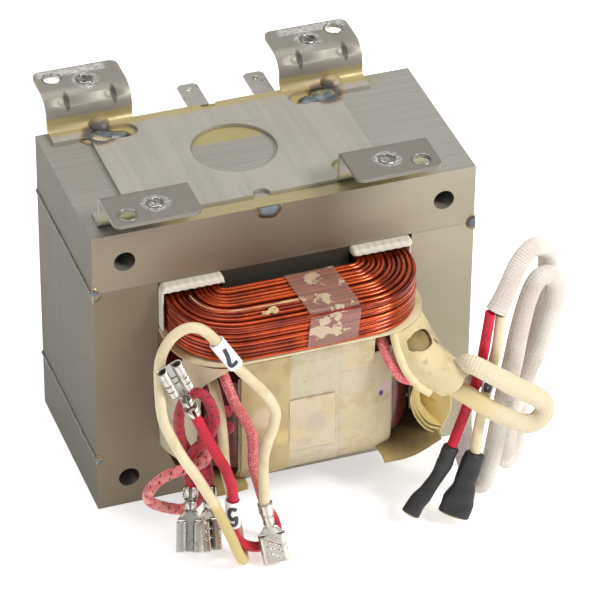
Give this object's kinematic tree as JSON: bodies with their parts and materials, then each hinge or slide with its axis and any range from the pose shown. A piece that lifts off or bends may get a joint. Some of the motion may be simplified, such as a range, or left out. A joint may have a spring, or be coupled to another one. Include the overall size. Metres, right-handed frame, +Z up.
{
  "type": "microwave-oven type high-voltage transformer",
  "caption": "Shell-type high-voltage transformer: welded laminated E and I core, bent mounting plate with slotted feet, enamelled primary, paper-wrapped secondary and insulated leads.",
  "frame": {"origin": "middle of the core's underside, on the surface it stands on", "axes": "+X to the right along the core's width, -Y towards the side where the leads come out, +Z up to the mounting feet"},
  "size_m": [0.1328, 0.1221, 0.106],
  "materials": {
    "core_steel": "brushed edges of varnished laminations",
    "plate_steel": "rolled sheet with varnish stains",
    "weld_steel": "heat-tinted weld",
    "tin_plate": "dull tin",
    "copper_enamel": "glossy enamel",
    "fine_enamel": "glossy enamel",
    "liner_paper": "matt paper",
    "varnished_paper": "varnish-soaked paper",
    "clear_tape": "clear film",
    "shunt_steel": "brown wrap",
    "cream_rubber": "satin insulation",
    "red_rubber": "satin insulation",
    "red_braid": "braided sleeve with dark flecks",
    "cream_sleeve": "woven glass sleeve",
    "white_sleeve": "woven glass sleeve",
    "heat_shrink": "satin",
    "marker_white": "satin"
  },
  "bodies": {
    "root": {"core_e_stack": "core_steel", "core_i_stack": "core_steel", "seam_weld_left": "weld_steel", "seam_weld_right": "weld_steel", "stack_weld_left": "weld_steel", "stack_weld_right": "weld_steel", "mounting_plate": "plate_steel", "plate_welds": "weld_steel", "front_weld": "weld_steel", "blade_left": "tin_plate", "blade_right": "tin_plate", "primary_coil": "copper_enamel", "primary_liner_left": "liner_paper", "primary_liner_right": "liner_paper", "primary_tape": "clear_tape", "coil_divider": "varnished_paper", "divider_flap_left": "varnished_paper", "divider_flap_right": "varnished_paper", "shunt_left": "shunt_steel", "shunt_right": "shunt_steel", "filament_winding": "red_rubber", "secondary_coil": "fine_enamel", "secondary_tape_front": "varnished_paper", "secondary_tape_back": "varnished_paper", "secondary_liner_left": "varnished_paper", "secondary_liner_right": "varnished_paper", "liner_flap_right": "varnished_paper", "cream_lead_left": "cream_rubber", "red_lead_left": "red_rubber", "braided_lead_a": "red_braid", "braided_lead_b": "red_braid", "red_lead_inner": "red_rubber", "sleeve_tie": "cream_sleeve", "sleeve_folded": "white_sleeve", "red_lead_right": "red_rubber", "cream_lead_right": "cream_rubber", "receptacle_red": "tin_plate", "receptacle_braid_a": "tin_plate", "receptacle_braid_b": "tin_plate", "receptacle_cream": "tin_plate", "boot_red": "heat_shrink", "boot_cream": "heat_shrink", "marker_left": "marker_white", "marker_middle": "marker_white", "marker_right": "marker_white"}
  },
  "joints": []
}
